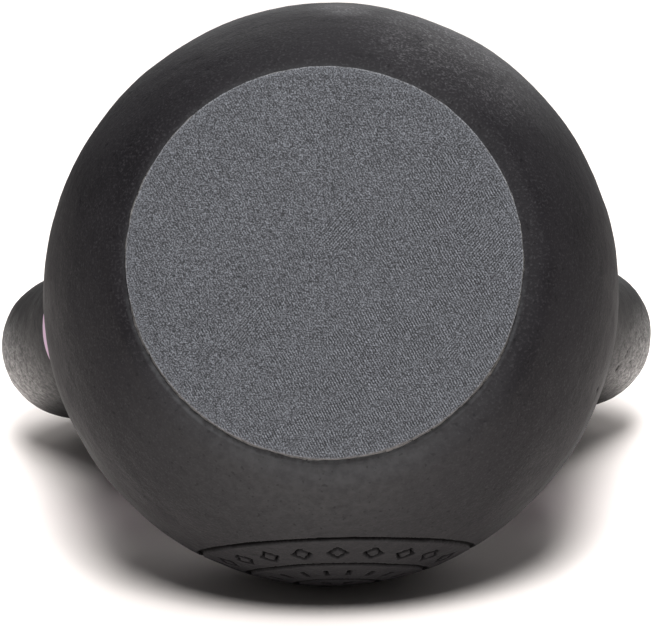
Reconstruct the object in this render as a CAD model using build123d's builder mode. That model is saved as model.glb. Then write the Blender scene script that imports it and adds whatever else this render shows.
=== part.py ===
from build123d import *

import os
from math import acos, cos, degrees, radians, sin, sqrt, tan

# An 8 kg kettlebell. It stands on its base pad: Z = 0 is the pad's underside, +Z points up
# through the handle, the handle's loop lies in the X-Z plane, and +Y is the emblem's side.
# All sizes are in millimetres.

# Ball and base
BALL_R = 60.8
BASE_FLAT_R = 42.5
BASE_EDGE_R = 6.0
PAD_R = 39.6
PAD_T = 2.0
PAD_EDGE_R = 0.35
PAD_SHIFT_X = -1.5
PAD_SHIFT_Y = -1.4
GLUE_R = 39.0
GLUE_T = 0.2

# Handle
GRIP_R = 16.35
GRIP_ABOVE_BALL_CENTER = 130.5
HORN_SPREAD = 118.8
HORN_LEAN = 18.0
CORNER_R = 25.0
HORN_ROOT_DEPTH = 20.0
ROOT_FILLET = 7.0

# Weight colour bands painted round the horns
BAND_W = 9.2
BAND_T = 0.25
BAND_TOP_ALONG_HORN = 78.7

# Emblem: two ring grooves with marks between and inside them
EMBLEM_LIFT = -1.9
RING_GROOVE_R = 0.65
OUTER_RING = 27.6
INNER_RING = 17.5
CENTER_RING = 8.0
MARK_DEPTH = 0.9
MARK_CUT = 3.0
LOZENGE_RING = 22.4
LOZENGE_COUNT = 20
LOZENGE_W = 4.6
LOZENGE_H = 5.0
LOZENGE_LINE = 0.9
BAR_RING = 12.6
BAR_COUNT = 18
BAR_W = 1.0
BAR_H = 3.2
PETAL_RING = 4.2
PETAL_COUNT = 6
PETAL_W = 2.0
PETAL_H = 4.4

# Cast iron, in kilograms per cubic millimetre
IRON_DENSITY = 7.2e-6

# Places that follow from the sizes above
base_z = PAD_T + GLUE_T
ball_z = base_z + sqrt(BALL_R**2 - BASE_FLAT_R**2)
grip_z = ball_z + GRIP_ABOVE_BALL_CENTER
rim_angle = -degrees(acos(BASE_FLAT_R / BALL_R))
lean = radians(HORN_LEAN)
corner_x = HORN_SPREAD / 2 - CORNER_R + CORNER_R * tan(radians(90 + HORN_LEAN) / 2)
ball_center = Vector(0, 0, ball_z)
emblem_normal = Vector(0, cos(radians(EMBLEM_LIFT)), sin(radians(EMBLEM_LIFT)))
emblem_middle = Plane(origin=ball_center, x_dir=(1, 0, 0), z_dir=emblem_normal)


def horn_point(along):
    """A point on the right horn's centreline, so far along from its nearest point to the ball's centre."""
    direction = Vector(sin(lean), 0, cos(lean))
    corner = Vector(corner_x, 0, grip_z)
    nearest = corner - direction * (corner - ball_center).dot(direction)
    return nearest + direction * along


def emblem_planes(spread, count):
    """Evenly spaced planes that face out of the ball round the emblem's middle, spread degrees from it,
    each sunk by the marks' depth. A plane's local Y points away from the middle."""
    planes = []
    for step in range(count):
        outward = Vector(1, 0, 0).rotate(Axis((0, 0, 0), emblem_normal), 360 * step / count)
        facing = emblem_normal * cos(radians(spread)) + outward * sin(radians(spread))
        origin = ball_center + facing * (BALL_R - MARK_DEPTH)
        planes.append(Plane(origin=origin, x_dir=outward.cross(emblem_normal), z_dir=facing))
    return planes


def lozenge(width, height):
    """The four corners of a lozenge about the origin."""
    return (width / 2, 0), (0, height / 2), (-width / 2, 0), (0, -height / 2)


with BuildPart() as iron_casting:
    # The ball with its flat base, and the handle as one tube from horn to horn
    with BuildSketch(Plane.XZ):
        with BuildLine():
            base = Line((0, base_z), (BASE_FLAT_R, base_z))
            side = CenterArc((0, ball_z), BALL_R, rim_angle, 90 - rim_angle)
            Line(side @ 1, base @ 0)
        make_face()
        fillet(vertices().sort_by(Axis.X)[-1], radius=BASE_EDGE_R)
    revolve(axis=Axis.Z)
    with BuildLine(Plane.XZ) as handle_line:
        foot = horn_point(HORN_ROOT_DEPTH)
        FilletPolyline(
            (-foot.X, foot.Z),
            (-corner_x, grip_z),
            (corner_x, grip_z),
            (foot.X, foot.Z),
            radius=CORNER_R,
        )
    with BuildSketch(Plane(origin=handle_line.line @ 0, z_dir=handle_line.line % 0)):
        Circle(GRIP_R)
    sweep(path=handle_line.line)

    # The blend where each horn grows out of the ball
    roots = iron_casting.edges().filter_by(GeomType.BSPLINE)
    fillet(roots, radius=ROOT_FILLET)

    # The emblem's two ring grooves and its small middle ring
    for spread in (OUTER_RING, INNER_RING, CENTER_RING):
        with Locations(emblem_middle.offset(BALL_R * cos(radians(spread)))):
            Torus(BALL_R * sin(radians(spread)), RING_GROOVE_R, mode=Mode.SUBTRACT)

    # Engraved marks: lozenge outlines between the rings, bars and petals inside
    with BuildSketch(*emblem_planes(LOZENGE_RING, LOZENGE_COUNT)):
        Polygon(*lozenge(LOZENGE_W, LOZENGE_H))
        Polygon(*lozenge(LOZENGE_W - 2 * LOZENGE_LINE, LOZENGE_H - 2 * LOZENGE_LINE), mode=Mode.SUBTRACT)
    extrude(amount=MARK_CUT, mode=Mode.SUBTRACT)
    with BuildSketch(*emblem_planes(BAR_RING, BAR_COUNT)):
        SlotOverall(BAR_H, BAR_W, rotation=90)
    extrude(amount=MARK_CUT, mode=Mode.SUBTRACT)
    with BuildSketch(*emblem_planes(PETAL_RING, PETAL_COUNT)):
        Polygon(*lozenge(PETAL_W, PETAL_H))
    extrude(amount=MARK_CUT, mode=Mode.SUBTRACT)
iron_casting.part.label = "iron_casting"

with BuildPart() as pad_adhesive:
    with BuildSketch(Plane.XY.offset(PAD_T)):
        with Locations((PAD_SHIFT_X, PAD_SHIFT_Y)):
            Circle(GLUE_R)
    extrude(amount=GLUE_T)
pad_adhesive.part.label = "pad_adhesive"

with BuildPart() as base_pad:
    with BuildSketch():
        with Locations((PAD_SHIFT_X, PAD_SHIFT_Y)):
            Circle(PAD_R)
    extrude(amount=PAD_T)
    fillet(base_pad.edges(), radius=PAD_EDGE_R)
base_pad.part.label = "base_pad"

band_plane = Plane(origin=horn_point(BAND_TOP_ALONG_HORN - BAND_W), z_dir=(sin(lean), 0, cos(lean)))
with BuildPart() as right_color_band:
    with BuildSketch(band_plane):
        Circle(GRIP_R + BAND_T)
        Circle(GRIP_R, mode=Mode.SUBTRACT)
    extrude(amount=BAND_W)
right_color_band.part.label = "right_color_band"

with BuildPart() as left_color_band:
    add(right_color_band.part.mirror(Plane.YZ))
left_color_band.part.label = "left_color_band"

os.makedirs("parts", exist_ok=True)
for piece in (iron_casting, pad_adhesive, base_pad, right_color_band, left_color_band):
    export_step(piece.part, f"parts/{piece.part.label}.step")

iron_kg = iron_casting.part.volume * IRON_DENSITY
print(f"iron {iron_kg:.3f} kg, ball centre {ball_z:.2f}, height {grip_z + GRIP_R:.2f}")
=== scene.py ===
"""Looks of the kettlebell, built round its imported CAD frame.

The frame stands upright on its base pad. The kettlebell lies on its emblem side here, so the
stage's floor is the plane that touches the ball and the grip on the +Y side, and the camera
looks at the base from a little above that floor. All lengths are in metres.
"""

from math import asin, cos, pi, radians, sin, sqrt

import bmesh
import bpy
import numpy as np
from mathutils import Matrix, Quaternion, Vector
from mathutils.bvhtree import BVHTree


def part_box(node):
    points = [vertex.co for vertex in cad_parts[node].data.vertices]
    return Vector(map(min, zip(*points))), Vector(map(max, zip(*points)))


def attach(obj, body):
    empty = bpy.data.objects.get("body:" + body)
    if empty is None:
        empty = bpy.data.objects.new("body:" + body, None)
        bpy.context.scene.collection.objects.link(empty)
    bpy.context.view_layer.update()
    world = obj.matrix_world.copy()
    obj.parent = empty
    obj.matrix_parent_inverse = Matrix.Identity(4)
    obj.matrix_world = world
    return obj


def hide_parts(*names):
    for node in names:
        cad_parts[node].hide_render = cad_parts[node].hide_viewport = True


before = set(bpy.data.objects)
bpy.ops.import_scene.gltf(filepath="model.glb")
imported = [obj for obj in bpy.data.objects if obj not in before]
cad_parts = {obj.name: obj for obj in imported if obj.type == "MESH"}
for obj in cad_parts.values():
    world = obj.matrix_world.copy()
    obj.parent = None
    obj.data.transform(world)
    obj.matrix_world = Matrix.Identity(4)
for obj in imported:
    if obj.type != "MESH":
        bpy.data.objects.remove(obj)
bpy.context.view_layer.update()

MM = 0.001

# ---------------------------------------------------------------- places taken from the frame
casting_low, casting_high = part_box("iron_casting")
pad_low, pad_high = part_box("base_pad")

BASE_FLAT_R = 42.5 * MM
GRIP_R = 16.35 * MM

ball_r = -casting_low.y
ball_center = Vector((0, 0, casting_low.z + sqrt(ball_r**2 - BASE_FLAT_R**2)))
grip_center = Vector((0, 0, casting_high.z - GRIP_R))
pad_center = (pad_low + pad_high) / 2
pad_r = (pad_high.x - pad_low.x) / 2
pad_ring_center = Vector((pad_center.x, pad_center.y, casting_low.z))

# The heights between which the horns' smoother coat turns into the grip's paler one, pale from wear and
# painted light
GRIP_FADE_LOW = 85 * MM
GRIP_FADE_HIGH = 115 * MM


# ---------------------------------------------------------------- camera
CAMERA_DISTANCE = 906 * MM
CAMERA_TILT = radians(6.1)
CAMERA_YAW = radians(0.6)
CAMERA_ROLL = radians(1.3)
CAMERA_NEAR = 10 * MM
LENS = 238.7
AIM_RIGHT = 0.82 * MM
AIM_UP = 4.45 * MM


def make_camera():
    """The camera faces the base from a little above the floor, with the handle behind the ball."""
    to_camera = Vector(
        (
            -sin(CAMERA_YAW) * cos(CAMERA_TILT),
            sin(CAMERA_TILT),
            -cos(CAMERA_YAW) * cos(CAMERA_TILT),
        )
    )
    right = Vector((cos(CAMERA_YAW), 0, -sin(CAMERA_YAW)))
    up = to_camera.cross(right)
    roll = Quaternion(to_camera, -CAMERA_ROLL)
    right, up = roll @ right, roll @ up
    place = ball_center + to_camera * CAMERA_DISTANCE
    target = ball_center - right * AIM_RIGHT - up * AIM_UP
    back = (place - target).normalized()
    up = (up - back * up.dot(back)).normalized()
    right = up.cross(back)
    data = bpy.data.cameras.new("camera")
    data.lens = LENS
    data.clip_start = CAMERA_NEAR
    camera = bpy.data.objects.new("camera", data)
    bpy.context.scene.collection.objects.link(camera)
    rotation = Matrix((right, up, back)).transposed().to_4x4()
    camera.matrix_world = Matrix.Translation(place) @ rotation
    bpy.context.scene.camera = camera


make_camera()


# ---------------------------------------------------------------- mesh helpers
# The shortest and the longest wave in a field, as parts of the size over which it changes
WAVE_SPREAD = (0.75, 1.6)


def link_mesh(name, mesh):
    """A new object that shows a mesh."""
    made = bpy.data.objects.new(name, mesh)
    bpy.context.scene.collection.objects.link(made)
    return made


def apply_modifiers(made):
    """Replaces an object's mesh by what its modifiers make of it."""
    graph = bpy.context.evaluated_depsgraph_get()
    mesh = bpy.data.meshes.new_from_object(made.evaluated_get(graph))
    made.modifiers.clear()
    made.data = mesh


def read_vectors(elements, field="co"):
    """One row of three numbers for each element of a mesh."""
    values = np.empty(len(elements) * 3)
    elements.foreach_get(field, values)
    return values.reshape(-1, 3)


def paint_points(mesh, name, values):
    """Stores a number at each point of a mesh, for its material to read."""
    field = mesh.attributes.new(name, "FLOAT", "POINT")
    field.data.foreach_set("value", values)


def smooth_shade(mesh):
    mesh.polygons.foreach_set("use_smooth", [True] * len(mesh.polygons))


def full_turn(steps):
    """Evenly spaced angles round a circle."""
    return np.linspace(0, 2 * pi, steps, endpoint=False)


def waves(points, size, seed, count=24):
    """A smooth random field, about -1 to 1, that changes over the given size."""
    draw = np.random.default_rng(seed)
    directions = draw.normal(size=(count, 3))
    directions /= np.linalg.norm(directions, axis=1, keepdims=True)
    lengths = size * draw.uniform(*WAVE_SPREAD, count)
    phases = draw.uniform(0, 2 * pi, count)
    field = np.zeros(len(points))
    for direction, length, phase in zip(directions, lengths, phases):
        field += np.sin(points @ direction * (2 * pi / length) + phase)
    return field / sqrt(count)


def fade(values, start, end):
    """0 below start, 1 above end, smooth between; it runs the other way if end is below start."""
    part = np.clip((values - start) / (end - start), 0, 1)
    return part * part * (3 - 2 * part)


# ---------------------------------------------------------------- material helpers
def new_material(name):
    """A material and its Principled shader."""
    made = bpy.data.materials.new(name)
    made.use_nodes = True
    return made, made.node_tree.nodes["Principled BSDF"]


def add_node(made, kind, inputs=None, **settings):
    """A node whose inputs are values or other nodes' outputs."""
    node = made.node_tree.nodes.new(kind)
    for key, value in settings.items():
        setattr(node, key, value)
    for key, value in (inputs or {}).items():
        if isinstance(value, bpy.types.NodeSocket):
            made.node_tree.links.new(value, node.inputs[key])
        else:
            node.inputs[key].default_value = value
    return node


def join(made, output, shader, name):
    made.node_tree.links.new(output, shader.inputs[name])


def object_place(made):
    return add_node(made, "ShaderNodeTexCoord").outputs["Object"]


def axes_of(made, place):
    """The X, Y and Z of a place."""
    return add_node(made, "ShaderNodeSeparateXYZ", {"Vector": place}).outputs


def painted(made, name):
    """The number that the mesh's points carry under a name."""
    return add_node(made, "ShaderNodeAttribute", attribute_name=name).outputs["Fac"]


def grain(made, place, size, detail=2.0, roughness=0.5):
    """Noise whose features are about the given size."""
    inputs = {"Vector": place, "Scale": 1 / size, "Detail": detail, "Roughness": roughness}
    return add_node(made, "ShaderNodeTexNoise", inputs).outputs["Fac"]


def spread(made, value, low, high, to_low=0.0, to_high=1.0):
    """Maps low..high onto to_low..to_high, clamped."""
    inputs = {"Value": value, "From Min": low, "From Max": high, "To Min": to_low, "To Max": to_high}
    return add_node(made, "ShaderNodeMapRange", inputs).outputs["Result"]


def calculate(made, operation, a, b=0.0):
    return add_node(made, "ShaderNodeMath", {0: a, 1: b}, operation=operation).outputs[0]


def multiply(made, a, b):
    return calculate(made, "MULTIPLY", a, b)


def measure(made, operation, a, b):
    """One number from two vectors, such as their distance."""
    return add_node(made, "ShaderNodeVectorMath", {0: a, 1: b}, operation=operation).outputs["Value"]


def mix_colors(made, amount, a, b):
    """Colour a where amount is 0 and colour b where it is 1. Each is three numbers or an output."""
    colors = [value if isinstance(value, bpy.types.NodeSocket) else (*value, 1) for value in (a, b)]
    inputs = {0: amount, 6: colors[0], 7: colors[1]}
    return add_node(made, "ShaderNodeMix", inputs, data_type="RGBA").outputs[2]


def bump(made, height, distance, below=None):
    """A bump of the given depth, laid over another bump if there is one."""
    inputs = {"Height": height, "Distance": distance, "Strength": 1.0}
    if below is not None:
        inputs["Normal"] = below
    return add_node(made, "ShaderNodeBump", inputs).outputs["Normal"]


def dress(made_object, made):
    made_object.data.materials.clear()
    made_object.data.materials.append(made)


# ---------------------------------------------------------------- powder coat
COAT_DARK = (0.0056, 0.0051, 0.0060)
COAT_LIGHT = (0.0092, 0.0085, 0.0097)
COAT_GRIT = (0.024, 0.023, 0.025)
COAT_PALE = (0.0315, 0.0313, 0.0322)
EDGE_DUST_AND_FILL = (0.064, 0.066, 0.070)
CHALK_AND_HIGHLIGHT = (0.115, 0.112, 0.118)
GRIP_DARK = (0.0100, 0.0100, 0.0105)
# The grip's pale tone is wear and painted light together
GRIP_WORN_AND_LIT = (0.620, 0.612, 0.602)
GRIP_BLACK = (0.0070, 0.0070, 0.0075)
# Painted shade in pits, pinholes and engraved marks
PIT_SHADE = (0.002, 0.002, 0.002)

COAT_ROUGHNESS = (0.56, 0.68)
COAT_SHINE = 0.085
BASE_SHINE = 0.075
BASE_SHINE_FADE = 4 * MM
PIT_SHINE = 0.1

# The sizes of the coat's grains, peel, clouds, smears and pinholes, and the depths of its bumps
FINE_GRAIN = 0.50 * MM
MEDIUM_GRAIN = 1.6 * MM
PEEL_GRAIN = 2.6 * MM
CLOUD_GRAIN = 14 * MM
SMEAR_GRAIN = 8 * MM
PINHOLE_GRAIN = 0.9 * MM
FINE_BUMP = 0.06 * MM
MEDIUM_BUMP = 0.10 * MM
PEEL_BUMP = 0.06 * MM

# The levels of noise over which each mark fades in, and how strong it gets or how weak it stays
CLOUD_LEVELS = (0.3, 0.7)
GRIT_LEVELS = (0.52, 0.74)
GRIT_MOST = 0.8
PINHOLE_LEVELS = (0.26, 0.20)
PINHOLE_MOST = 0.30
PALE_LEVELS = (0.2, 0.7)
PALE_LEAST = 0.5
SPOT_FINE_LEVELS = (0.46, 0.70)
SPOT_MEDIUM_LEVELS = (0.34, 0.60)
SMEAR_LEVELS = (0.25, 0.65)
SMEAR_LEAST = 0.35
SPECKLE_LEVELS = (0.58, 0.36)
SPECKLE_MOST = 0.60
BLOTCH_LEVELS = (0.60, 0.36)
BLOTCH_MOST = 0.55

# Chalk places on the ball, which also carry painted highlights along its upper rim and at its top, from
# its centre, with how far each reaches and how much of it is haze; the middle of each, as a part of its
# reach, is pale all over
CHALK_AND_HIGHLIGHT_SPOTS = (
    (Vector((27, -48, -25)) * MM, 27 * MM, 0.08),
    (Vector((34, -50, -4)) * MM, 24 * MM, 0.22),
    (Vector((3, -56, -22)) * MM, 8 * MM, 0.20),
)
CHALK_AND_HIGHLIGHT_MIDDLE = 0.2

# The ball's coat is paler between the pad and the emblem: the place's middle and its reach
PALE_SPOT = Vector((-4, 36, -48)) * MM
PALE_NEAR = 14 * MM
PALE_FAR = 45 * MM

# A pale line lies round the pad, up to this far past its edge: dust, with painted fill light over the
# pad's shadow. It is faint towards -Y, grows towards +Y, where the pad's shadow falls, up to this side
# distance, and lies unevenly
EDGE_FILL_NEAR = 0.1 * MM
EDGE_FILL_FAR = 1.1 * MM
EDGE_FILL_SIDE = 25 * MM
EDGE_FILL_SIDE_LEAST = 0.12
EDGE_FILL_LEVELS = (0.3, 0.6)
EDGE_FILL_LEAST = 0.3

# The grip is painted palest far out along X and towards +Y, partly from wear and partly as painted light
# from the lit floor, but not along its very +Y side, where it lies on the floor and keeps painted shade.
# The first two are added up, and the sum decides how pale it is
WORN_LIT_OUTWARD = (58 * MM, 77 * MM)
WORN_LIT_DEPTH = (-14 * MM, 14 * MM)
WORN_LIT_SUM = (0.85, 1.75)
GRIP_FLOOR_SHADE = (16 * MM, 12 * MM)


def coat_color(made, place, depth, fine, medium, cloud):
    """The ball's near-black coat with its pale grit, a paler place between the pad and the emblem, chalk
    with painted highlights, and a line of dust with painted fill light round the pad.
    """
    coat = mix_colors(made, cloud, COAT_DARK, COAT_LIGHT)
    grit = multiply(made, spread(made, fine, *GRIT_LEVELS), GRIT_MOST)
    coat = mix_colors(made, grit, coat, COAT_GRIT)

    # The coat is paler between the pad and the emblem
    from_spot = measure(made, "DISTANCE", place, ball_center + PALE_SPOT)
    lightened = spread(made, from_spot, PALE_FAR, PALE_NEAR)
    lightened = multiply(made, lightened, spread(made, medium, *PALE_LEVELS, PALE_LEAST, 1))
    coat = mix_colors(made, lightened, coat, COAT_PALE)

    grains = spread(made, fine, *SPOT_FINE_LEVELS)
    grains = multiply(made, grains, spread(made, medium, *SPOT_MEDIUM_LEVELS))
    smear = grain(made, place, SMEAR_GRAIN, detail=3.0)
    smear = spread(made, smear, *SMEAR_LEVELS, SMEAR_LEAST, 1)
    # Chalk places, which also hold painted highlights on the upper rim and the top
    for spot, reach, haze in CHALK_AND_HIGHLIGHT_SPOTS:
        from_spot = measure(made, "DISTANCE", place, ball_center + spot)
        near = spread(made, from_spot, reach, reach * CHALK_AND_HIGHLIGHT_MIDDLE)
        chalk_and_highlight = multiply(made, multiply(made, near, smear), spread(made, grains, 0, 1, haze, 1))
        coat = mix_colors(made, chalk_and_highlight, coat, CHALK_AND_HIGHLIGHT)

    # A dust line round the pad, with painted fill light where the pad's shadow falls
    from_middle = measure(made, "DISTANCE", place, pad_ring_center)
    lightened = spread(made, from_middle, pad_r + EDGE_FILL_FAR, pad_r + EDGE_FILL_NEAR)
    lightened = multiply(made, lightened, spread(made, depth, 0, EDGE_FILL_SIDE, EDGE_FILL_SIDE_LEAST, 1))
    lightened = multiply(made, lightened, spread(made, medium, *EDGE_FILL_LEVELS, EDGE_FILL_LEAST, 1))
    return mix_colors(made, lightened, coat, EDGE_DUST_AND_FILL)


def worn_and_lit_color(made, across, depth, fine, medium):
    """The grip's coat, pale from wear and painted light where it faces out towards the lit floor, with
    painted shade along its +Y side and dark specks left in it.
    """
    outward = spread(made, calculate(made, "ABSOLUTE", across), *WORN_LIT_OUTWARD)
    towards = spread(made, depth, *WORN_LIT_DEPTH)
    worn_and_lit = spread(made, calculate(made, "ADD", outward, towards), *WORN_LIT_SUM)
    worn_and_lit = multiply(made, multiply(made, worn_and_lit, worn_and_lit), spread(made, depth, *GRIP_FLOOR_SHADE))
    grip_tone = mix_colors(made, worn_and_lit, GRIP_DARK, GRIP_WORN_AND_LIT)
    specks = multiply(made, spread(made, fine, *SPECKLE_LEVELS), SPECKLE_MOST)
    grip_tone = mix_colors(made, specks, grip_tone, GRIP_BLACK)
    blotches = multiply(made, spread(made, medium, *BLOTCH_LEVELS), BLOTCH_MOST)
    return mix_colors(made, blotches, grip_tone, GRIP_BLACK)


def powder_coat_material():
    """A matt black coat with a fine grain, greyer on the grip where the hand goes from wear and painted
    light, and dark in its pits from painted shade.
    """
    made, shader = new_material("powder_coat")
    place = object_place(made)
    across, depth, height = axes_of(made, place)
    fine = grain(made, place, FINE_GRAIN, detail=2.0, roughness=0.6)
    medium = grain(made, place, MEDIUM_GRAIN, detail=2.0, roughness=0.6)
    cloud = grain(made, place, CLOUD_GRAIN, detail=3.0, roughness=0.6)
    cloud = spread(made, cloud, *CLOUD_LEVELS)
    coat = coat_color(made, place, depth, fine, medium, cloud)
    grip_tone = worn_and_lit_color(made, across, depth, fine, medium)
    color = mix_colors(made, spread(made, height, GRIP_FADE_LOW, GRIP_FADE_HIGH), coat, grip_tone)

    # Pinholes, engraved marks and blow holes are darkened as painted shade, and their shine is dulled
    pinholes = spread(made, grain(made, place, PINHOLE_GRAIN, detail=0.0), *PINHOLE_LEVELS)
    dark = calculate(made, "MAXIMUM", multiply(made, pinholes, PINHOLE_MOST), painted(made, "recess_shade"))
    join(made, mix_colors(made, dark, color, PIT_SHADE), shader, "Base Color")
    shine = spread(made, height, casting_low.z + BASE_SHINE_FADE, casting_low.z, COAT_SHINE, BASE_SHINE)
    dull = spread(made, dark, 0, 1, 1, PIT_SHINE)
    shader.inputs["Specular IOR Level"].default_value = COAT_SHINE
    join(made, multiply(made, shine, dull), shader, "Specular IOR Level")
    join(made, spread(made, cloud, 0, 1, *COAT_ROUGHNESS), shader, "Roughness")
    relief = bump(made, grain(made, place, PEEL_GRAIN, detail=1.0), PEEL_BUMP)
    relief = bump(made, medium, MEDIUM_BUMP, relief)
    relief = bump(made, fine, FINE_BUMP, relief)
    join(made, relief, shader, "Normal")
    return made


# ---------------------------------------------------------------- iron casting
VOXEL = 0.36 * MM
COAT_SMOOTHING = 2

# The skin is thinned to about this many triangles; a high hold spares the emblem and the holes
CASTING_TRIANGLES = 190_000
DETAIL_HOLD = 1000

# How far the cast ball is out of round: all over, towards +X, towards +Y, oval and skew
ROUND_MEAN = -0.29 * MM
ROUND_X = 0.12 * MM
ROUND_Y = 0.38 * MM
ROUND_OVAL = -0.39 * MM
ROUND_SKEW = -0.32 * MM

# It is out of round on its sides, not at its poles, and only this near the ball's surface
ROUND_SIDE = (0.70, 0.95)
ROUND_NEAR = 1 * MM
ROUND_FAR = 8 * MM

# The skin's unevenness: how long and how high its waves are, and how far from the base they start
SLOW_LENGTH = 24 * MM
SLOW_HEIGHT = 0.09 * MM
LUMP_LENGTH = 6 * MM
LUMP_HEIGHT = 0.025 * MM
HAMMERED_LENGTH = 2.6 * MM
HAMMERED_HEIGHT = 0.022 * MM
HAMMERED_WAVES = 60
GROUND_BASE = 3 * MM

PIT_COUNT = 70
PIT_SEED = 11
PIT_RADII = (0.5 * MM, 1.1 * MM)
PIT_DEPTHS = (0.10 * MM, 0.35 * MM)

# Blow holes on the right horn's outer bend: place, reach and depth
HORN_HOLES = (
    (Vector((65.6, 10.4, 125.7)) * MM, 0.75 * MM, 0.5 * MM),
    (Vector((66.1, 9.9, 125.7)) * MM, 0.80 * MM, 0.6 * MM),
    (Vector((66.6, 9.3, 126.0)) * MM, 0.75 * MM, 0.5 * MM),
    (Vector((67.8, 7.4, 125.9)) * MM, 0.60 * MM, 0.4 * MM),
    (Vector((69.4, 8.2, 132.2)) * MM, 0.70 * MM, 0.4 * MM),
    (Vector((68.3, 6.5, 125.9)) * MM, 0.60 * MM, 0.4 * MM),
    (Vector((66.7, 8.0, 123.5)) * MM, 0.55 * MM, 0.4 * MM),
)

# Each one's level floor, as a part of its reach, and the depths over which painted shade darkens it
HORN_HOLE_FLOOR = 0.2
HORN_HOLE_SHADE = (0.05 * MM, 0.25 * MM)

# The emblem lies where the ball faces +Y by more than this, and its marks get darker with depth: painted
# shade, with some dirt in them
EMBLEM_EDGE = (0.84, 0.86)
ENGRAVED_FROM = 0.15 * MM
ENGRAVED_FULL = 0.45 * MM
ENGRAVED_SHADE = 0.95


def out_of_round(points):
    """How far the ball's skin stands off the drawing at each point, and the direction out of the ball."""
    from_center = points - np.array(ball_center)
    distance = np.linalg.norm(from_center, axis=1)
    outward = from_center / distance[:, None]
    x, y = outward[:, 0], outward[:, 1]
    swell = ROUND_MEAN + ROUND_X * x + ROUND_Y * y + ROUND_OVAL * (x**2 - y**2) + ROUND_SKEW * x * y
    on_side = fade(np.hypot(x, y), *ROUND_SIDE)
    on_ball = fade(distance, ball_r + ROUND_FAR, ball_r + ROUND_NEAR)
    return swell * on_side * on_ball, outward


def casting_roughness(points):
    """Slow waves and small lumps that a sand mould leaves, with none on the ground base."""
    off_base = fade(points[:, 2], casting_low.z, casting_low.z + GROUND_BASE)
    on_grip = fade(points[:, 2], GRIP_FADE_LOW, GRIP_FADE_HIGH)
    slow = waves(points, SLOW_LENGTH, seed=1) * SLOW_HEIGHT
    lumps = waves(points, LUMP_LENGTH, seed=2) * LUMP_HEIGHT
    hammered = waves(points, HAMMERED_LENGTH, seed=3, count=HAMMERED_WAVES) * HAMMERED_HEIGHT
    return (slow + lumps + hammered * on_grip) * off_base


def horn_hole_depths(points):
    """The right horn's blow holes, each with a level floor."""
    depths = np.zeros(len(points))
    for place, radius, depth in HORN_HOLES:
        away = np.linalg.norm(points - np.array(place), axis=1)
        depths = np.maximum(depths, depth * fade(away, radius, HORN_HOLE_FLOOR * radius))
    return depths


def pit_depths(points):
    """Small blow holes scattered over the casting, and the larger ones on the right horn."""
    draw = np.random.default_rng(PIT_SEED)
    depths = horn_hole_depths(points)
    for place in points[draw.integers(0, len(points), PIT_COUNT)]:
        radius = draw.uniform(*PIT_RADII)
        depth = draw.uniform(*PIT_DEPTHS)
        away = np.linalg.norm(points - place, axis=1)
        depths = np.maximum(depths, depth * fade(away, radius, 0))
    return depths


def on_emblem(points):
    """1 on the emblem's part of the ball and 0 elsewhere."""
    outward = points - np.array(ball_center)
    outward /= np.linalg.norm(outward, axis=1)[:, None]
    return fade(outward[:, 1], *EMBLEM_EDGE)


def engraved_depths(points):
    """How deep the drawing's surface lies under the ball in each point's direction, on the emblem."""
    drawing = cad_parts["iron_casting"].data
    corners = [tuple(place) for place in read_vectors(drawing.vertices)]
    surface = BVHTree.FromPolygons(corners, [tuple(face.vertices) for face in drawing.polygons])
    outside = 1.1 * ball_r
    depths = np.zeros(len(points))
    for index in np.nonzero(on_emblem(points))[0]:
        outward = (Vector(points[index]) - ball_center).normalized()
        hit = surface.ray_cast(ball_center + outward * outside, -outward)[0]
        depths[index] = max(0, ball_r - (hit - ball_center).length)
    return depths


def engrave(mesh):
    """Puts the emblem's marks back at their full depth, and notes how much painted shade each mark and
    blow hole gets.
    """
    points = read_vectors(mesh.vertices)
    depths = engraved_depths(points)
    swell, outward = out_of_round(points)
    skin = ball_r + swell + casting_roughness(points) - depths
    drawn = np.array(ball_center) + outward * skin[:, None]
    points += (drawn - points) * on_emblem(points)[:, None]
    mesh.vertices.foreach_set("co", points.ravel())
    mesh.update()
    marks = ENGRAVED_SHADE * fade(depths, ENGRAVED_FROM, ENGRAVED_FULL)
    holes = fade(horn_hole_depths(points), *HORN_HOLE_SHADE)
    paint_points(mesh, "recess_shade", np.maximum(marks, holes))


def cast_skin():
    """The drawing's shape as one skin of even squares, softened by its coat and uneven as cast."""
    casting = link_mesh("casting_skin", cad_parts["iron_casting"].data.copy())
    remesh = casting.modifiers.new("remesh", "REMESH")
    remesh.mode = "VOXEL"
    remesh.voxel_size = VOXEL
    soften = casting.modifiers.new("soften", "SMOOTH")
    soften.iterations = COAT_SMOOTHING
    apply_modifiers(casting)
    points = read_vectors(casting.data.vertices)
    normals = read_vectors(casting.data.vertex_normals, "vector")
    swell, outward = out_of_round(points)
    off_skin = casting_roughness(points) - pit_depths(points)
    points += outward * swell[:, None] + normals * off_skin[:, None]
    casting.data.vertices.foreach_set("co", points.ravel())
    return casting, points


def thin_out(casting, points):
    """Joins triangles where the skin is smooth, and keeps them all on the emblem and in the holes."""
    detail = casting.vertex_groups.new(name="detail")
    keep = np.maximum(on_emblem(points), horn_hole_depths(points) > 0)
    detail.add(np.nonzero(keep > 0.5)[0].tolist(), 1.0, "REPLACE")
    decimate = casting.modifiers.new("decimate", "DECIMATE")
    squares = len(casting.data.polygons)
    decimate.ratio = CASTING_TRIANGLES / (2 * squares)
    decimate.vertex_group = detail.name
    decimate.invert_vertex_group = True
    decimate.vertex_group_factor = DETAIL_HOLD
    apply_modifiers(casting)


def make_casting():
    """The casting: ball, base, horns and grip in one coated skin, with the emblem cut into it."""
    casting, points = cast_skin()
    thin_out(casting, points)
    engrave(casting.data)
    smooth_shade(casting.data)
    dress(casting, powder_coat_material())
    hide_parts("iron_casting")
    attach(casting, "root")
    return casting


casting = make_casting()


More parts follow.
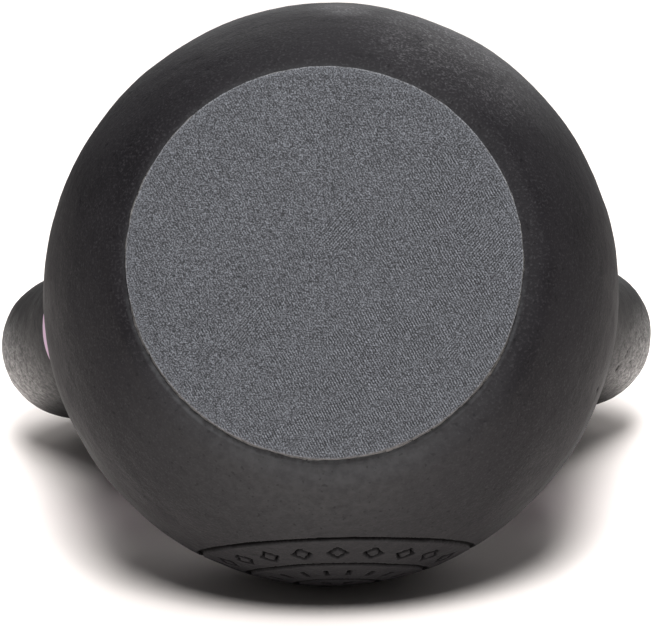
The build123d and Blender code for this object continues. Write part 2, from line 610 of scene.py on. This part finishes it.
# ---------------------------------------------------------------- base pad
PAD_GRID = 0.232 * MM
WEAVE_PITCH = 0.52 * MM
WEAVE_RELIEF = 0.10 * MM
WEAVE_CONTRAST = 0.75
WEAVE_SEED = 8

# The face's rounded edge and how far it rises, and the pressed hem inside it: how wide, how much
# of the weave is pressed out of it, and at what level
PAD_EDGE = 0.30 * MM
PAD_EDGE_RISE = 0.6 * PAD_EDGE
PAD_HEM = 2.0 * MM
PAD_HEM_PRESSED = 0.6
PAD_HEM_LEVEL = 0.62

# The cut outline: slightly oval, flattened in one direction, with long and short nicks
PAD_OVAL = 0.16 * MM
PAD_OVAL_TURN = radians(-22)
PAD_FLAT = 0.45 * MM
PAD_FLAT_TURN = radians(135)
PAD_FLAT_WIDTH = (0.70, 0.97)
LONG_NICK_LENGTH = 22 * MM
LONG_NICK_DEPTH = 0.07 * MM
SHORT_NICK_LENGTH = 3 * MM
SHORT_NICK_DEPTH = 0.035 * MM

# The slants at which the woven ribs show, with each one's weight, and how far they stay in step
RIB_SLANTS = ((68, 1.0), (52, 0.8), (-55, 0.7), (84, 0.5), (8, 0.45))
RIB_PATCH = 9 * MM
RIB_LEVELS = (-0.9, 1.1)
RIB_DRIFT = 1.5
RIB_SEED = 40
RIB_PATCH_SEED = 60

# The yarns' own unevenness, and how much calmer it gets towards +X and +Y
YARN_UNEVEN = 0.75
YARN_CALMER = 0.30
YARN_CALM = (-20 * MM, 40 * MM)

PAD_GAP = (0.0030, 0.0032, 0.0042)
PAD_THREAD = (0.138, 0.145, 0.163)
PAD_SHINE = 0.25
PAD_ROUGHNESS = 0.75
PAD_BUMP = 0.02 * MM

# The pad's cut side is paler than its face, from these heights above it: pale fibres, with a painted
# highlight where the edge catches the light
PAD_CUT_LIT = (0.24, 0.24, 0.25)
PAD_CUT_HEIGHT = (0.10 * MM, 0.30 * MM)

# Finer ribs in the material: one slant or the other, in patches of this size
STEEP_SLANT = radians(62)
CROSSING_SLANT = radians(-48)
SLANT_PATCH = 22 * MM
SLANT_LEVELS = (0.57, 0.66)
RIB_WAVER = {"Distortion": 1.6, "Detail": 1.0, "Detail Scale": 0.35}

# The ribs show clearest towards +X and +Y; a smaller reach makes the change steeper. With them
# added, the weave runs from its darkest gap to its palest thread over the range
RIB_REACH = 150 * MM
CLEAR_PATCH = 17 * MM
CLEAR_LEVELS = (0.44, 0.66)
CLEAR_AMOUNTS = (0.10, 0.95)
WOVEN_RANGE = (-0.25, 1.25)

# Stains, fuzz and mottle darken the threads: each one's size, levels of noise and strength
STAIN_GRAIN = 16 * MM
STAIN_LEVELS = (0.30, 0.62)
STAIN_MOST = 0.10
FUZZ_GRAIN = 0.27 * MM
FUZZ_LEVELS = (0.60, 0.36)
FUZZ_MOST = 0.8
MOTTLE_GRAIN = 0.60 * MM
MOTTLE_LEVELS = (0.58, 0.36)
MOTTLE_MOST = 0.30


def pad_outline(angle):
    """The hand-cut outline: how far the pad's edge is from its middle in each direction."""
    around = np.stack([np.cos(angle), np.sin(angle), np.zeros_like(angle)], axis=-1)
    points = around.reshape(-1, 3) * pad_r
    nicks = waves(points, LONG_NICK_LENGTH, seed=5) * LONG_NICK_DEPTH
    nicks += waves(points, SHORT_NICK_LENGTH, seed=6) * SHORT_NICK_DEPTH
    oval = PAD_OVAL * (np.cos(2 * (angle - PAD_OVAL_TURN)) - 1)
    flat = PAD_FLAT * fade(np.cos(angle - PAD_FLAT_TURN), *PAD_FLAT_WIDTH)
    return pad_r + oval + nicks.reshape(angle.shape) - flat


def weave(x, y):
    """Height of the woven face, 0 in a gap to 1 on a thread: ribs at several slants, each strong in
    patches of its own, and the yarns' own unevenness."""
    places = np.stack([x.ravel(), y.ravel(), np.zeros(x.size)], axis=1)
    field = np.zeros(x.size)
    for number, (slant, weight) in enumerate(RIB_SLANTS):
        across = x.ravel() * sin(radians(slant)) - y.ravel() * cos(radians(slant))
        drift = waves(places, 3 * RIB_PATCH, seed=RIB_SEED + number) * RIB_DRIFT
        strength = weight * fade(waves(places, RIB_PATCH, seed=RIB_PATCH_SEED + number), *RIB_LEVELS)
        field += strength * np.sin(across * 2 * pi / WEAVE_PITCH + drift)
    uneven = YARN_UNEVEN - YARN_CALMER * fade(x.ravel() + y.ravel(), *YARN_CALM)
    field += np.random.default_rng(WEAVE_SEED).normal(0, 1, x.size) * uneven
    return np.clip(0.5 + WEAVE_CONTRAST * field, 0, 1).reshape(x.shape)


def ribs(made, place, slant):
    """Fine parallel ribs at a slant to the pad's X axis, slightly uneven, from 0 to 1."""
    turned = add_node(made, "ShaderNodeMapping", {"Vector": place, "Rotation": (0, 0, pi / 2 - slant)})
    # A wave texture of scale 1 repeats every pi / 10
    inputs = {"Vector": turned.outputs["Vector"], "Scale": pi / 10 / WEAVE_PITCH, **RIB_WAVER}
    return add_node(made, "ShaderNodeTexWave", inputs).outputs["Fac"]


def woven_tone(made, place):
    """How light the weave is: its raised threads and finer ribs, which come and go in patches."""
    turn = spread(made, grain(made, place, SLANT_PATCH, detail=1.0), *SLANT_LEVELS)
    slants = {0: turn, 2: ribs(made, place, STEEP_SLANT), 3: ribs(made, place, CROSSING_SLANT)}
    line = add_node(made, "ShaderNodeMix", slants).outputs[0]
    towards = measure(made, "DOT_PRODUCT", place, Vector((1, 1, 0)) / RIB_REACH)
    patch = calculate(made, "ADD", grain(made, place, CLEAR_PATCH, detail=1.0), towards)
    clear = spread(made, patch, *CLEAR_LEVELS, *CLEAR_AMOUNTS)
    rib = multiply(made, calculate(made, "ADD", line, -0.5), clear)
    woven = calculate(made, "ADD", painted(made, "raised"), rib)
    return spread(made, woven, *WOVEN_RANGE)


def pad_material():
    """Woven rubberised cloth: grey threads over dark gaps, ribbed this way or that in patches."""
    made, shader = new_material("pad_rubber")
    place = object_place(made)
    color = mix_colors(made, woven_tone(made, place), PAD_GAP, PAD_THREAD)
    stain = grain(made, place, STAIN_GRAIN, detail=3.0, roughness=0.6)
    fuzz = grain(made, place, FUZZ_GRAIN, detail=0.0)
    mottle = grain(made, place, MOTTLE_GRAIN, detail=1.0)
    marks = (
        (stain, STAIN_LEVELS, STAIN_MOST),
        (fuzz, FUZZ_LEVELS, FUZZ_MOST),
        (mottle, MOTTLE_LEVELS, MOTTLE_MOST),
    )
    for noise, levels, most in marks:
        color = mix_colors(made, multiply(made, spread(made, noise, *levels), most), color, PAD_GAP)

    low, high = (pad_low.z + height for height in PAD_CUT_HEIGHT)
    # The cut side's pale fibres, with a painted highlight on the edge
    cut = multiply(made, spread(made, axes_of(made, place)["Z"], low, high), fuzz)
    join(made, mix_colors(made, cut, color, PAD_CUT_LIT), shader, "Base Color")
    shader.inputs["Roughness"].default_value = PAD_ROUGHNESS
    shader.inputs["Specular IOR Level"].default_value = PAD_SHINE
    join(made, bump(made, fuzz, PAD_BUMP), shader, "Normal")
    return made


def woven_face():
    """The pad's face: a fine grid that carries the weave, cut to the outline."""
    half = int(pad_r / PAD_GRID) + 2
    ticks = np.arange(-half, half + 1) * PAD_GRID
    across, along = np.meshgrid(ticks, ticks)
    distance = np.hypot(across, along)
    edge = pad_outline(np.arctan2(along, across))
    shrink = edge / np.maximum(distance, edge)
    hem = PAD_HEM_PRESSED * fade(distance, edge - PAD_HEM, edge - PAD_HEM / 2)
    raised = weave(across, along) * (1 - hem) + PAD_HEM_LEVEL * hem
    inner = fade(distance, edge - PAD_EDGE / 2, edge - 1.2 * PAD_EDGE)
    z = pad_low.z + PAD_EDGE_RISE * (1 - inner) + WEAVE_RELIEF * (1 - raised) * inner
    x, y = pad_center.x + across * shrink, pad_center.y + along * shrink
    points = np.stack([x, y, z], axis=-1).reshape(-1, 3)

    inside = distance < edge
    kept = inside[:-1, :-1] | inside[1:, :-1] | inside[:-1, 1:] | inside[1:, 1:]
    number = np.arange(across.size).reshape(across.shape)
    corners = np.stack([number[:-1, :-1], number[1:, :-1], number[1:, 1:], number[:-1, 1:]], axis=-1)
    used, renumbered = np.unique(corners[kept], return_inverse=True)
    mesh = bpy.data.meshes.new("woven_pad")
    mesh.from_pydata(points[used], [], renumbered.reshape(-1, 4).tolist())
    paint_points(mesh, "raised", raised.ravel()[used])
    return mesh


def add_sides_and_back(mesh):
    """Draws the face's rim up to the pad's top in two steps, and closes it there."""
    shape = bmesh.new()
    shape.from_mesh(mesh)
    for level in (pad_low.z + PAD_EDGE, pad_high.z):
        rim = [line for line in shape.edges if line.is_boundary]
        made = bmesh.ops.extrude_edge_only(shape, edges=rim)["geom"]
        for point in (item for item in made if isinstance(item, bmesh.types.BMVert)):
            point.co.z = level
    rim = [line for line in shape.edges if line.is_boundary]
    bmesh.ops.contextual_create(shape, geom=rim)
    bmesh.ops.recalc_face_normals(shape, faces=shape.faces)
    shape.to_mesh(mesh)
    shape.free()


def make_pad():
    """The woven rubber pad under the base."""
    mesh = woven_face()
    add_sides_and_back(mesh)
    smooth_shade(mesh)
    pad = link_mesh("woven_pad", mesh)
    dress(pad, pad_material())
    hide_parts("base_pad")
    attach(pad, "root")


make_pad()


# ---------------------------------------------------------------- ring meshes
def ring_mesh(name, rings, closed):
    """A mesh through rings of points of equal count. A closed one joins its last ring to its first;
    an open one is capped at both ends."""
    count = len(rings[0])
    points = np.concatenate(rings)
    faces = []
    for ring in range(len(rings) - (0 if closed else 1)):
        here, there = ring * count, (ring + 1) % len(rings) * count
        for step in range(count):
            after = (step + 1) % count
            faces.append((here + step, here + after, there + after, there + step))
    if not closed:
        faces.append(tuple(reversed(range(count))))
        faces.append(tuple(range(len(points) - count, len(points))))
    mesh = bpy.data.meshes.new(name)
    mesh.from_pydata(points, [], faces)
    shape = bmesh.new()
    shape.from_mesh(mesh)
    bmesh.ops.recalc_face_normals(shape, faces=shape.faces)
    shape.to_mesh(mesh)
    shape.free()
    smooth_shade(mesh)
    return mesh


# ---------------------------------------------------------------- adhesive
GLUE_DARK = (0.030, 0.029, 0.028)
# Pale dust in the glue, also painted fill light over the pad's shadow
GLUE_DUST_AND_FILL = (0.150, 0.146, 0.142)
GLUE_GRAIN = 1.2 * MM
GLUE_LEVELS = (0.35, 0.7)
GLUE_ROUGHNESS = (0.25, 0.5)
GLUE_BUMP = 0.04 * MM

# How far the glue is squeezed out past the pad, how that varies, and its least and most
GLUE_STEPS = 540
SQUEEZE = 0.26 * MM
LONG_SQUEEZE_LENGTH = 9 * MM
LONG_SQUEEZE = 0.12 * MM
SHORT_SQUEEZE_LENGTH = 3 * MM
SHORT_SQUEEZE = 0.05 * MM
SQUEEZE_LIMITS = (-0.2 * MM, 0.6 * MM)

# The film is flat up to this far from the pad's edge, and then dips to fill the corner beside it
GLUE_INSET = 4.0 * MM
GLUE_DIP_INSET = 0.4 * MM
GLUE_DIP = 0.1 * MM


def glue_material():
    """Contact adhesive: smoky, a little glossy, with dust caught in it, made pale as painted fill light
    over the pad's shadow.
    """
    made, shader = new_material("glue")
    place = object_place(made)
    dust = grain(made, place, GLUE_GRAIN, detail=3.0, roughness=0.6)
    dust = spread(made, dust, *GLUE_LEVELS)
    join(made, mix_colors(made, dust, GLUE_DARK, GLUE_DUST_AND_FILL), shader, "Base Color")
    join(made, spread(made, dust, 0, 1, *GLUE_ROUGHNESS), shader, "Roughness")
    join(made, bump(made, dust, GLUE_BUMP), shader, "Normal")
    return made


def make_glue():
    """The glue film under the pad, squeezed out unevenly past the pad's edge."""
    low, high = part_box("pad_adhesive")
    angle = full_turn(GLUE_STEPS)
    around = np.stack([np.cos(angle), np.sin(angle), np.zeros(GLUE_STEPS)], axis=1)
    squeeze = SQUEEZE + waves(around * pad_r, LONG_SQUEEZE_LENGTH, seed=21) * LONG_SQUEEZE
    squeeze += waves(around * pad_r, SHORT_SQUEEZE_LENGTH, seed=22) * SHORT_SQUEEZE
    squeeze = np.clip(squeeze, *SQUEEZE_LIMITS)
    edge = pad_outline(angle)
    profile = (
        (edge - GLUE_INSET, low.z),
        (edge - GLUE_DIP_INSET, low.z - GLUE_DIP),
        (edge + squeeze / 2, low.z),
        (edge + squeeze, high.z),
        (edge - GLUE_INSET, high.z),
    )
    rings = []
    for reach, level in profile:
        rings.append(around * reach[:, None] + np.array([pad_center.x, pad_center.y, level]))
    glue = link_mesh("glue_film", ring_mesh("glue_film", rings, closed=False))
    dress(glue, glue_material())
    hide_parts("pad_adhesive")
    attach(glue, "root")


make_glue()


# ---------------------------------------------------------------- colour bands
BAND_PINK = (0.26, 0.125, 0.25)
BAND_PALE = (0.38, 0.22, 0.36)
BAND_STREAK = 3 * MM
BAND_LEVELS = (0.3, 0.7)
BAND_ROUGHNESS = (0.35, 0.5)
BAND_GRAIN = 0.8 * MM
BAND_BUMP = 0.03 * MM

# The paint reaches this far into the horn and stands this far off it, and its edges wander
BAND_STEPS = 240
BAND_SEAT = 0.30 * MM
BAND_STAND = 0.22 * MM
BAND_WAVE = 12 * MM
BAND_WOBBLE = 0.25 * MM

# The paint's outline: where along the band, as a part of half its width, and how far off the horn
BAND_PROFILE = (
    (-1.0, -BAND_SEAT),
    (-1.0, 0.0),
    (-0.93, 0.7 * BAND_STAND),
    (-0.8, BAND_STAND),
    (0.0, BAND_STAND),
    (0.8, BAND_STAND),
    (0.93, 0.7 * BAND_STAND),
    (1.0, 0.0),
    (1.0, -BAND_SEAT),
)


def band_material():
    """Pink enamel brushed round the horn, rubbed a little paler in places."""
    made, shader = new_material("band_enamel")
    place = object_place(made)
    streak = grain(made, place, BAND_STREAK, detail=3.0, roughness=0.6)
    streak = spread(made, streak, *BAND_LEVELS)
    join(made, mix_colors(made, streak, BAND_PINK, BAND_PALE), shader, "Base Color")
    join(made, spread(made, streak, 0, 1, *BAND_ROUGHNESS), shader, "Roughness")
    join(made, bump(made, grain(made, place, BAND_GRAIN), BAND_BUMP), shader, "Normal")
    return made


def make_band(node, name, made, seed):
    """A painted band with feathered, slightly wavy edges, on the axis of its CAD ring."""
    points = read_vectors(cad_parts[node].data.vertices)
    middle = (points.min(axis=0) + points.max(axis=0)) / 2
    directions = np.linalg.eigh(np.cov((points - middle).T))[1]
    axis = directions[:, 0] * (1 if directions[2, 0] > 0 else -1)
    middle += axis * ((points - middle) @ axis).mean()
    half_width = np.abs((points - middle) @ axis).max()
    side = np.cross(axis, (0, 1, 0))
    side /= np.linalg.norm(side)
    front = np.cross(side, axis)
    angle = full_turn(BAND_STEPS)
    outward = np.outer(np.cos(angle), side) + np.outer(np.sin(angle), front)
    wobble = waves(outward * GRIP_R, BAND_WAVE, seed) * BAND_WOBBLE
    rings = []
    for part, stand in BAND_PROFILE:
        along = part * half_width + wobble * abs(part)
        rings.append(middle + outward * (GRIP_R + stand) + np.outer(along, axis))
    band = link_mesh(name, ring_mesh(name, rings, closed=True))
    dress(band, made)
    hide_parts(node)
    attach(band, "root")


enamel = band_material()
make_band("left_color_band", "left_band_paint", enamel, seed=31)
make_band("right_color_band", "right_band_paint", enamel, seed=32)


# ---------------------------------------------------------------- stage
FLOOR_SIZE = 1.6
FLOOR_COLOR = (0.945, 0.888, 0.858)
FLOOR_ROUGHNESS = 0.9
WORLD_COLOR = (1, 1, 1)
WORLD_LIGHT = 0.09
WORLD_SEEN = 1.0

# The floor's lean, from the ball's and the grip's places, and its depth, from the skin itself
floor_lean = asin((ball_r - GRIP_R) / (grip_center - ball_center).length)
floor_down = Vector((0, cos(floor_lean), sin(floor_lean)))
floor_depth = (read_vectors(casting.data.vertices) @ np.array(floor_down)).max()

# Directions of the studio: up from the floor, right along it, and towards the camera
studio_up = -floor_down
studio_right = Vector((1, 0, 0))
studio_front = studio_right.cross(studio_up)

# Soft round lights: name, place as right, front and up of the ball, width and power in watts
LIGHTS = (
    ("front_key", (0, 0.9, 0.91), 0.4, 18),
    ("top_key", (0, 0.5, 1.1), 0.7, 9),
    ("right_key", (0.12, 0.7, 1.0), 0.4, 5),
    ("overhead", (0, -0.15, 1.15), 0.8, 8),
    ("low_back", (0.15, -1.8, 0.45), 1.5, 8.5),
    ("high_back", (0, -2.2, 1.2), 2.0, 6),
    ("right_back", (1.1, -1.7, 0.8), 1.0, 4),
)


def paper_material():
    """White paper, seen from above only: from below it hides nothing."""
    made, shader = new_material("floor_paper")
    shader.inputs["Base Color"].default_value = (*FLOOR_COLOR, 1)
    shader.inputs["Roughness"].default_value = FLOOR_ROUGHNESS
    shader.inputs["Specular IOR Level"].default_value = 0.0
    clear = add_node(made, "ShaderNodeBsdfTransparent")
    behind = add_node(made, "ShaderNodeNewGeometry").outputs["Backfacing"]
    mix = add_node(made, "ShaderNodeMixShader", {0: behind, 1: shader.outputs[0], 2: clear.outputs[0]})
    join(made, mix.outputs[0], made.node_tree.nodes["Material Output"], "Surface")
    return made


def make_floor():
    """A square of paper that touches the ball and the grip."""
    half = FLOOR_SIZE / 2
    mesh = bpy.data.meshes.new("floor")
    corners = [(-half, -half, 0), (half, -half, 0), (half, half, 0), (-half, half, 0)]
    mesh.from_pydata(corners, [], [(0, 1, 2, 3)])
    floor = link_mesh("floor", mesh)
    floor.rotation_mode = "QUATERNION"
    floor.rotation_quaternion = studio_up.to_track_quat("Z", "Y")
    floor.location = floor_down * floor_depth
    dress(floor, paper_material())


def make_light(name, place, size, power):
    """A round soft light at a place given as right, front and up of the ball, aimed at the ball."""
    right, front, up = place
    offset = studio_right * right + studio_front * front + studio_up * up
    data = bpy.data.lights.new(name, "AREA")
    data.shape = "DISK"
    data.size = size
    data.energy = power
    light = bpy.data.objects.new(name, data)
    bpy.context.scene.collection.objects.link(light)
    light.location = ball_center + offset
    light.rotation_mode = "QUATERNION"
    light.rotation_quaternion = offset.to_track_quat("Z", "Y")


def make_world():
    """A pale surround that is seen as white but adds only a little light."""
    world = bpy.data.worlds.new("world")
    bpy.context.scene.world = world
    world.use_nodes = True
    tree = world.node_tree
    light = tree.nodes["Background"]
    seen = tree.nodes.new("ShaderNodeBackground")
    for background, strength in ((light, WORLD_LIGHT), (seen, WORLD_SEEN)):
        background.inputs["Color"].default_value = (*WORLD_COLOR, 1)
        background.inputs["Strength"].default_value = strength
    path = tree.nodes.new("ShaderNodeLightPath")
    mix = tree.nodes.new("ShaderNodeMixShader")
    tree.links.new(path.outputs["Is Camera Ray"], mix.inputs[0])
    tree.links.new(light.outputs[0], mix.inputs[1])
    tree.links.new(seen.outputs[0], mix.inputs[2])
    tree.links.new(mix.outputs[0], tree.nodes["World Output"].inputs["Surface"])


make_floor()
for light in LIGHTS:
    make_light(*light)
make_world()

bpy.context.scene.view_settings.view_transform = "Standard"
